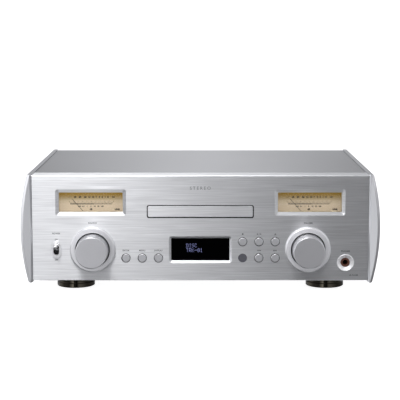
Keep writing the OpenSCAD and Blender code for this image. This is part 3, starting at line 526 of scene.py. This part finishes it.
def recess_corners(x, z, half_w, half_h, bevel, depth, outer, inner):
    """Fillets in the four corners of a sloping recess: outer radius at the face, inner radius at its floor."""
    n = 7                      # flats round a fillet
    overlap, skin = 2e-5, 5e-6  # how far it runs into the walls, and stays off the face and the floor
    parts = []
    for sx, sz in ((1, 1), (-1, 1), (-1, -1), (1, -1)):
        verts = []
        for t in (0, 1):
            w, h, r = half_w - bevel * t, half_h - bevel * t, outer + (inner - outer) * t
            ring = [(w + overlap, h + overlap)]
            ring += [(w - r + r * math.cos(k / n * math.pi / 2) + (overlap if k == 0 else 0),
                      h - r + r * math.sin(k / n * math.pi / 2) + (overlap if k == n else 0)) for k in range(n + 1)]
            verts += [(x + sx * a, FACE + skin + (depth - 2 * skin) * t, z + sz * b) for a, b in ring]
        m = n + 2
        faces = [tuple(range(m)), tuple(range(2 * m - 1, m - 1, -1))]
        faces += [(i, i + m, (i + 1) % m + m, (i + 1) % m) for i in range(m)]
        if sx * sz < 0:
            faces = [f[::-1] for f in faces]
        parts.append((verts, faces))
    return parts


# Painted shade: black sheets behind the knobs' gaps, in the buttons' holes and round the buttons, so these gaps read
# dark
KNOB_GAP_SHADE = [(17, -0.3), (21.25, -0.3), (21.25, -0.02), (17, -0.02)]
HOLE_SHADE = [(5.5, 0.12), (5.64, 0.12), (5.64, 4.9), (5.5, 4.9)]
BUTTON_GAP_SHADE = [(4.8, -0.45), (4.97, -0.45), (4.97, 7.0), (4.8, 7.0)]
washers = [lathe(in_mm(KNOB_GAP_SHADE), (x, FACE, KNOB_Z), 96) for x in (-KNOB_X, KNOB_X)]
piece("knob_gap_shade", *join(washers), gap_shade_black, "cabinet", "switch_plastic")
hole_shades = []
for key in KEYS:
    p = centre(key + "_button")
    hole_shades.append(lathe(in_mm(HOLE_SHADE), (p.x, FACE, p.z), 64))
piece("button_hole_shade", *join(hole_shades), gap_shade_black, "cabinet", "switch_plastic")
for key in KEYS:
    p = centre(key + "_button")
    piece(key + "_button_gap_shade", *lathe(in_mm(BUTTON_GAP_SHADE), (p.x, FACE, p.z), 64), gap_shade_black, key + "_key", "switch_plastic")

# Painted shade: a black band lining the tray's slot round the edge of its door, so the gap reads dark
slot = rounded(131.16 * MM, 15.96 * MM, 2.5 * MM)
slot_front, slot_back, gap_shade_thick = FACE + 0.25 * MM, FACE + 7.9 * MM, 0.25 * MM
piece("slot_gap_shade", *band(slot, 0, centre("tray_door").z, slot_front, slot_back, gap_shade_thick), gap_shade_black, "cabinet",
      "switch_plastic")

# Rounded corners of the recesses: half width, half height, bevel, depth, outer and inner radius
METER_RECESS = (43.3 * MM, 16.2 * MM, 4.1 * MM, 1.6 * MM, 3.2 * MM, 0.8 * MM)
DISPLAY_RECESS = (38.6 * MM, 16.65 * MM, 2.7 * MM, 2.6 * MM, 3.2 * MM, 1.0 * MM)
corners = []
for side in ("left", "right"):
    p = centre("meter_glass_" + side)
    corners += recess_corners(p.x, p.z, *METER_RECESS)
corners += recess_corners(0, centre("display_window").z, *DISPLAY_RECESS)
piece("recess_corners", *join(corners), plate, "cabinet", "brushed_aluminium")

# Dot-matrix words behind the smoked window
GLYPHS = {
    "D": "11110 10001 10001 10001 10001 10001 11110", "I": "01110 00100 00100 00100 00100 00100 01110",
    "S": "01111 10000 10000 01110 00001 00001 11110", "C": "01110 10001 10000 10000 10000 10001 01110",
    "T": "11111 00100 00100 00100 00100 00100 00100", "R": "11110 10001 10001 11110 10100 10010 10001",
    "K": "10001 10010 10100 11000 10100 10010 10001", "0": "01110 10001 10011 10101 11001 10001 01110",
    "1": "00100 01100 00100 00100 00100 00100 01110", "-": "00000 00000 00000 11111 00000 00000 00000",
}
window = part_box("display_window")
window_x, window_z = (window[0].x + window[1].x) / 2, (window[0].z + window[1].z) / 2
step_x, step_z = 0.58 * MM, 0.68 * MM          # from dot to dot
dot_w, dot_h = 0.36 * MM, 0.44 * MM
letter_steps, row_steps = 6, 8.6
dot_parts = []
for row, word in enumerate(("DISC", "TRK-01")):
    for place, letter in enumerate(word):
        for j, bits in enumerate(GLYPHS[letter].split()):
            for i, bit in enumerate(bits):
                if bit == "1":
                    x = window_x - 17.4 * MM + (place * letter_steps + i) * step_x
                    z = window_z + 6.6 * MM - (row * row_steps + j) * step_z
                    dot_parts.append(sheet([(0, 0), (dot_w, 0), (dot_w, dot_h), (0, dot_h)], x, window[0].y, z))
piece("display_words", *join(dot_parts), dots, "cabinet", "display_glass")

# Scales on the meter dials: places in millimetres from the middle, and the words there
LEVELS = [(-26, "-∞"), (-20, "40"), (-14, "30"), (-7.5, "20"), (-2.5, "15"), (2, "10"), (6, "7"), (10, "5"),
          (13.5, "3"), (17, "1"), (20.5, "0"), (27, "+3")]
TICKS, TICK_SPAN = 31, 50
for side in ("left", "right"):
    glass_low, glass_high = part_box("meter_glass_" + side)
    middle = (glass_low.x + glass_high.x) / 2
    glass_z = (glass_low.z + glass_high.z) / 2
    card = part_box("meter_dial_" + side)[0].y - INK
    marks = []
    base = glass_z - 3.5 * MM
    pivot = glass_z - 23.8 * MM
    for x, word in LEVELS:
        marks.append(letters(word, 3.0 * MM, middle + x * MM, card, glass_z + 5.0 * MM, weight=1.8e-4))
    for k in range(TICKS):
        x = (-TICK_SPAN / 2 + k * TICK_SPAN / (TICKS - 1)) * MM
        tall = (2.6 if k % 3 else 4.0) * MM
        lean = x / (base - pivot)
        marks.append(stroke(middle + x, base, middle + x + tall * lean * 0.55, base + tall, 0.32 * MM, card))
    marks.append(stroke(middle - 26 * MM, base, middle + 3 * MM, base, 1.0 * MM, card))
    marks.append(stroke(middle + 3 * MM, base, middle + 25 * MM, base, 0.6 * MM, card))
    for k, word in enumerate(("0.01", "0.1", "1", "5", "10", "50", "100")):
        marks.append(letters(word, 2.3 * MM, middle + (-14.5 + k * 4.6) * MM, card, base - 3.0 * MM, weight=1.2e-4))
    marks.append(letters("dB", 3.0 * MM, middle - 0.5 * MM, card, base - 6.6 * MM, weight=1.6e-4))
    marks.append(letters("LEVEL", 2.5 * MM, middle + 32.0 * MM, card, base - 6.8 * MM, weight=1.8e-4))
    piece("dial_print_" + side, *join(marks), dial_ink, "cabinet", "dial_card")

# ---- Rear panel detail ----

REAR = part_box("rear_panel")[1].y
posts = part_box("speaker_posts")
post_z = (posts[0].z + posts[1].z) / 2
post_span = posts[1].x - posts[0].x - 20 * MM
post_xs = [posts[0].x + 10 * MM + post_span * k / 3 for k in range(4)]
TIP = posts[1].y


def slab(points, x, z, y0, y1):
    """An outline in X and Z drawn from y0 to y1, with its rear edge eased."""
    n, edge = len(points), 0.4 * MM
    shrink = [(a * (1 - edge / max(abs(a), abs(b), edge)), b * (1 - edge / max(abs(a), abs(b), edge)))
              for a, b in points]
    rings = [(points, y0), (points, y1 - edge), (shrink, y1)]
    verts = [(x + a, y, z + b) for ring, y in rings for a, b in ring]
    faces = [tuple(range(n)), tuple(range(3 * n - 1, 2 * n - 1, -1))]
    for r in range(2):
        faces += [(r * n + i, r * n + n + i, r * n + n + (i + 1) % n, r * n + (i + 1) % n) for i in range(n)]
    return verts, faces


base_plate = piece("terminal_plate", *slab(rounded(post_span + 20 * MM, posts[1].z - posts[0].z, 3 * MM),
                                           (post_xs[0] + post_xs[3]) / 2, post_z, REAR, REAR + 2.5 * MM),
                   black_plastic, "cabinet", "post_plastic")
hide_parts("speaker_posts")
caps = {"red": [], "black": []}
cores = []
for k, x in enumerate(post_xs):
    collar = [(2.4, 2.5), (4.9, 2.5), (4.9, 3.4), (4.4, 3.6), (4.4, 6.5), (2.4, 6.5)]
    cores.append(lathe(in_mm(collar, REAR - TIP), (x, TIP, post_z)))
    core = [(2.05, -17.0), (2.05, -0.6), (2.5, 0), (4.0, 0), (4.2, -0.3), (4.2, -1.4), (4.2, -17.0)]
    cores.append(lathe(in_mm(core), (x, TIP, post_z)))
    depth = TIP - REAR - 6.5 * MM
    grip = [(4.25 * MM, -depth), (6.3 * MM, -depth), (6.8 * MM, -depth + 0.6 * MM), (6.8 * MM, -4.2 * MM),
            (6.3 * MM, -3.4 * MM), (5.2 * MM, -3.0 * MM), (5.2 * MM, -0.5 * MM), (4.8 * MM, -0.1 * MM),
            (4.25 * MM, -0.1 * MM)]
    caps["red" if k % 2 else "black"].append(lathe(grip, (x, TIP, post_z), 72, 36, 0.28 * MM))
piece("terminal_cores", *join(cores), gold, "cabinet", "gold_plate")
piece("terminal_caps_red", *join(caps["red"]), red_plastic, "cabinet", "post_plastic")
piece("terminal_caps_black", *join(caps["black"]), black_plastic, "cabinet", "post_plastic")

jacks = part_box("line_jacks")
jack_xs = [jacks[0].x + 6.5 * MM + k * 18 * MM for k in range(3)]
jack_zs = [jacks[0].z + 6.5 * MM, jacks[1].z - 6.5 * MM]
for word, z, shader in (("red", jack_zs[0], red_plastic), ("white", jack_zs[1], white_plastic)):
    washers = []
    for x in jack_xs:
        ring = [(4.16, 1.2), (6.9, 1.2), (6.9, 1.9), (6.6, 2.2), (4.16, 2.2)]
        washers.append(lathe(in_mm(ring), (x, REAR, z)))
        mouth = [(1.61, 9.9), (1.61, 10.25), (3.3, 10.25), (3.3, 9.9)]
        washers.append(lathe(in_mm(mouth), (x, REAR, z)))
    piece("jack_washers_" + word, *join(washers), shader, "cabinet", "gold_plate")

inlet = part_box("mains_inlet")
inlet_x, inlet_z = (inlet[0].x + inlet[1].x) / 2, (inlet[0].z + inlet[1].z) / 2
pins = [box((inlet_x + (dx - 0.95) * MM, REAR - 14 * MM, inlet_z + (dz - 2.55) * MM),
            (inlet_x + (dx + 0.95) * MM, REAR - 0.9 * MM, inlet_z + (dz + 2.55) * MM))
        for dx, dz in ((-7, 1.2), (0, -2.6), (7, 1.2))]
piece("inlet_pins", *join(pins), tin, "cabinet", "socket_shell")
screws = []
for dx in (-20, 20):
    head = [(0.0, 2.6), (2.9, 2.6), (2.9, 3.1), (2.2, 3.9), (0.0, 4.1)]
    screws.append(lathe([(max(r, 0.02) * MM, y * MM) for r, y in head], (inlet_x + dx * MM, REAR, inlet_z)))
piece("inlet_screws", *join(screws), screw_metal, "cabinet", "screw_steel")

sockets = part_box("digital_sockets")
net_x, data_x = sockets[0].x + 8 * MM, sockets[1].x - 7 * MM
socket_z = (sockets[0].z + sockets[1].z) / 2
contacts = [box((net_x + (k - 3.5) * 1.1 * MM - 0.2 * MM, REAR - 11 * MM, socket_z - 4.6 * MM),
                (net_x + (k - 3.5) * 1.1 * MM + 0.2 * MM, REAR - 2 * MM, socket_z - 4.2 * MM)) for k in range(8)]
piece("network_contacts", *join(contacts), gold, "cabinet", "gold_plate")
piece("data_tongue", *box((data_x - 5.2 * MM, REAR - 12 * MM, socket_z + 0.4 * MM),
                          (data_x + 5.2 * MM, REAR - 1.2 * MM, socket_z + 2.0 * MM)),
      white_plastic, "cabinet", "socket_shell")

WALL = REAR + 0.00001
rear_words = []
for text, x, z, size in (
    ("SPEAKERS", (post_xs[0] + post_xs[3]) / 2, post_z + 17 * MM, 3.2),
    ("R", (post_xs[0] + post_xs[1]) / 2, post_z - 17 * MM, 3.0),
    ("L", (post_xs[2] + post_xs[3]) / 2, post_z - 17 * MM, 3.0),
    ("LINE IN 1", jack_xs[0], jack_zs[1] + 11 * MM, 2.4), ("LINE IN 2", jack_xs[1], jack_zs[1] + 11 * MM, 2.4),
    ("LINE OUT", jack_xs[2], jack_zs[1] + 11 * MM, 2.4),
    ("L", jack_xs[0] - 11.5 * MM, jack_zs[1], 3.0), ("R", jack_xs[0] - 11.5 * MM, jack_zs[0], 3.0),
    ("NETWORK", net_x, socket_z + 12 * MM, 2.4), ("OPTICAL", (net_x + data_x) / 2 + 1 * MM, socket_z + 12 * MM, 2.4),
    ("DATA", data_x, socket_z + 12 * MM, 2.4), ("MAINS IN", inlet_x, inlet_z + 20 * MM, 3.0),
):
    rear_words.append(letters(text, size * MM, x, WALL, z, back=True, weight=4e-5, spacing=SPACED))
piece("rear_labels", *join(rear_words), white_ink, "cabinet", "rear_steel")

# ---- Floor, backdrop, world and lights ----

scene = bpy.context.scene
scene.view_settings.view_transform = "Standard"


def stage_plane(name, size, shader):
    mesh = bpy.data.meshes.new(name)
    mesh.from_pydata([(-size, -size, 0), (size, -size, 0), (size, size, 0), (-size, size, 0)], [], [(0, 1, 2, 3)])
    mesh.materials.append(shader.mat)
    made = bpy.data.objects.new(name, mesh)
    scene.collection.objects.link(made)
    return made


floor_paint = finish("pale_studio_floor", (0.60, 0.60, 0.605), 0.75, (60, 60, 60), tone=0.004, patch=0.004,
                     Emission_Color=(1, 1, 1), Emission_Strength=0.92)
floor = stage_plane("floor", 11.0, floor_paint)
floor.location.z = -0.0002
# Seen by the camera only, so that the fitted surroundings below the horizon reach the part
floor.visible_glossy = floor.visible_diffuse = floor.visible_shadow = False

white = Shader("white_backdrop", Base_Color=(0, 0, 0), Roughness=1.0, Emission_Color=(1, 1, 1), Emission_Strength=1.1)
bpy.ops.mesh.primitive_uv_sphere_add(segments=64, ring_count=32, radius=12)
dome = bpy.context.object
dome.name = "backdrop"
dome.data.materials.append(white.mat)
for ray in ("diffuse", "glossy", "transmission", "volume_scatter", "shadow"):
    setattr(dome, "visible_" + ray, False)


# Brightness of the surroundings in front and behind: one row per height of the direction's Z, across its X.
# Most levels came from a least-squares fit of trial renders to the tones of the metal faces; the rest were given one by
# one.
FRONT_X = (-1, -0.6, -0.38, -0.24, -0.14, -0.06, 0.02, 0.10, 0.20, 0.32, 0.55, 1)
FRONT = {
    -0.7: (0.02, 0.02, 0.02, 0.02, 0.02, 0.02, 0.02, 0.02, 0.57, 0.02, 0.02, 1.05),
    -0.25: (0.02, 0.12, 1.41, 2.52, 0.02, 0.02, 0.02, 0.02, 0.02, 0.93, 0.96, 0.15),
    0.0: (1.86, 0.45, 0.81, 2.64, 0.02, 0.66, 0.81, 0.02, 0.30, 0.30, 0.70, 0.21),
    0.35: (1.53, 0.55, 0.25, 0.02, 1.17, 2.37, 0.02, 0.02, 0.02, 0.40, 0.90, 0.90),
    0.8: (1.17, 0.55, 0.25, 0.02, 2.19, 3.36, 3.27, 0.02, 0.02, 0.30, 0.70, 1.17),
}
BACK_X = (-1, -0.4, -0.15, 0, 0.15, 0.4, 1)
BACK = {
    -0.3: (0.81, 0.02, 0.02, 0.72, 1.26, 0.02, 0.15),
    0.05: (1.47, 1.17, 0.90, 0.54, 0.75, 0.69, 0.63),
    0.2: (1.56, 0.36, 0.08, 1.05, 0.08, 0.60, 1.32),
    0.7: (0.84, 0.45, 0.42, 0.42, 0.42, 0.45, 0.60),
}


def world():
    """Surroundings in soft patches, blended between the rows and columns of the two tables."""
    full = 4.0                 # the ramps stop at 1, so levels are stored as a share of this
    w = bpy.data.worlds.new("studio")
    scene.world = w
    w.use_nodes = True
    g = Shader.__new__(Shader)
    g.tree = w.node_tree
    g.tree.nodes.clear()
    background = g.node("Background")
    g.tree.links.new(background.outputs[0], g.node("OutputWorld").inputs[0])
    d = g.node("TexCoord").outputs["Generated"]
    x, y, z = (g.axis(d, i) for i in range(3))
    across, up = g.remap(x, -1.0, 1.0), g.remap(z, -1.0, 1.0)

    def side(places, rows):
        total, heights = 0.0, sorted(rows)
        for i, height in enumerate(heights):
            near = [(heights[k], 1.0 if k == i else 0.0) for k in (i - 1, i, i + 1) if 0 <= k < len(heights)]
            row = g.level(across, [(place, grey / full) for place, grey in zip(places, rows[height])])
            total = g.math("MULTIPLY_ADD", row, g.level(up, near), total)
        return total

    front = g.remap(y, 0.15, -0.25, smooth=True)
    behind = g.math("SUBTRACT", 1.0, front)
    total = g.math("ADD", g.math("MULTIPLY", front, side(FRONT_X, FRONT)),
                   g.math("MULTIPLY", behind, side(BACK_X, BACK)))
    g.put(background.inputs[0], g.scaled((0.985, 0.99, 1.02), total))
    background.inputs[1].default_value = full


world()


def softbox(name, at, target, size, power):
    """A rectangular lamp that faces its target."""
    data = bpy.data.lights.new(name, "AREA")
    data.shape, data.size, data.size_y = "RECTANGLE", *size
    data.energy = power
    made = bpy.data.objects.new(name, data)
    made.location = at
    made.rotation_euler = (Vector(target) - Vector(at)).to_track_quat("-Z", "Y").to_euler()
    scene.collection.objects.link(made)


softbox("key", (-0.3, -0.85, 1.1), (-0.1, -0.15, 0.08), (0.4, 0.3), 7)
softbox("overhead", (0.2, -0.45, 1.2), (0, -0.15, 0.08), (0.4, 0.3), 0.45)


camera_data = bpy.data.cameras.new("camera")
camera_data.sensor_width = 36.0
camera_data.lens = 118.46
camera_data.clip_end = 60.0
camera = bpy.data.objects.new("camera", camera_data)
camera.location = (-0.0004, -1.7419, 0.3458)
camera.rotation_euler = (math.radians(90 - 8.0455), 0, 0)
scene.collection.objects.link(camera)
scene.camera = camera
